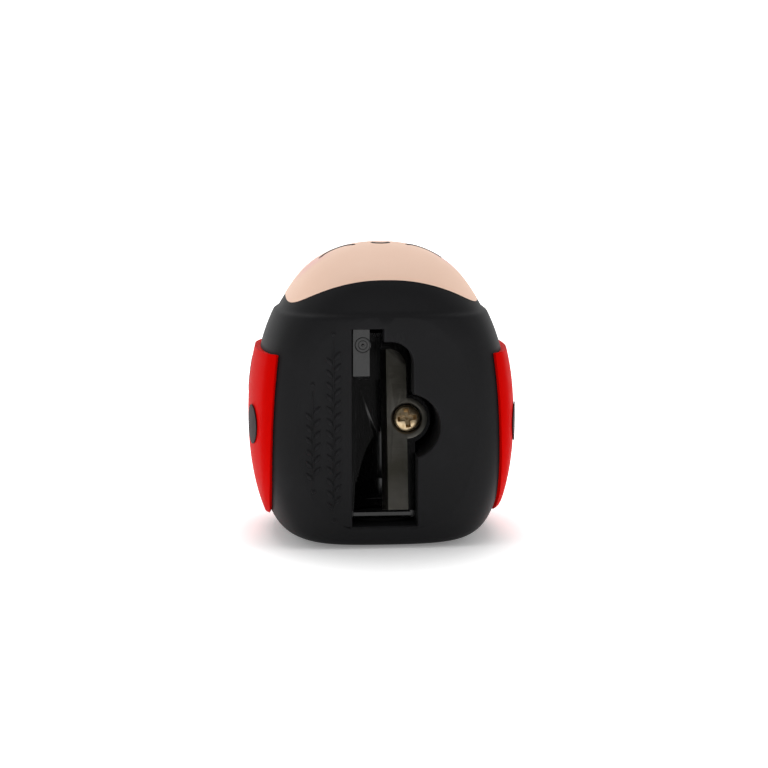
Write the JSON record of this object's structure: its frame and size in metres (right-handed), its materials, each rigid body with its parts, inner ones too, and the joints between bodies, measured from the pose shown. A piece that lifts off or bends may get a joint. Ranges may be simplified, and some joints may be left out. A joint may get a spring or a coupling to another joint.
{
  "type": "pencil sharpener",
  "caption": "Ladybird-shaped soft vinyl pencil sharpener; a wedge sharpener with a screwed steel blade sits in its flat belly and the pencil enters at the tail.",
  "frame": {"origin": "middle of the box's footprint on the underside of the tail, which is the flat that it stands on", "axes": "+Z from the tail up to the head; -Y out of the flat belly, which shows the blade; +X to the right as one looks at the belly"},
  "size_m": [0.0388, 0.031, 0.0425],
  "materials": {
    "black_vinyl": "soft-touch matte moulded vinyl",
    "peach_vinyl": "soft-touch matte moulded vinyl",
    "red_vinyl": "satin moulded vinyl",
    "spot_vinyl": "satin moulded vinyl",
    "mark_vinyl": "satin moulded vinyl",
    "gloss_plastic": "glossy injection-moulded ABS",
    "blade_steel": "surface-ground carbon steel",
    "screw_plate": "warm nickel plate"
  },
  "bodies": {
    "figure": {"cover_body": "black_vinyl", "face_panel": "peach_vinyl", "wing_left": "red_vinyl", "wing_right": "red_vinyl", "wing_spot_side_left": "spot_vinyl", "wing_spot_upper_left": "spot_vinyl", "wing_spot_rear_left": "spot_vinyl", "wing_spot_side_right": "spot_vinyl", "wing_spot_upper_right": "spot_vinyl", "wing_spot_rear_right": "spot_vinyl", "eye_left": "mark_vinyl", "eye_right": "mark_vinyl", "mouth": "mark_vinyl", "sharpener_body": "gloss_plastic"},
    "blade": {"blade": "blade_steel"},
    "screw": {"blade_screw": "screw_plate"}
  },
  "joints": [
    {"name": "blade_lift", "type": "slide", "parent": "figure", "child": "blade", "axis": [0, -0.9799, 0.1994], "range_m": [0, 0.009]},
    {"name": "screw_turn", "type": "hinge", "parent": "blade", "child": "screw", "pos_m": [0.0032, -0.00909, 0.01755], "axis": [0, -0.9799, 0.1994], "range_deg": [0, 3600]}
  ],
  "couplings": [
    {"joint": "screw_turn", "follows": "blade_lift", "rad_per_m": 6981.3}
  ]
}
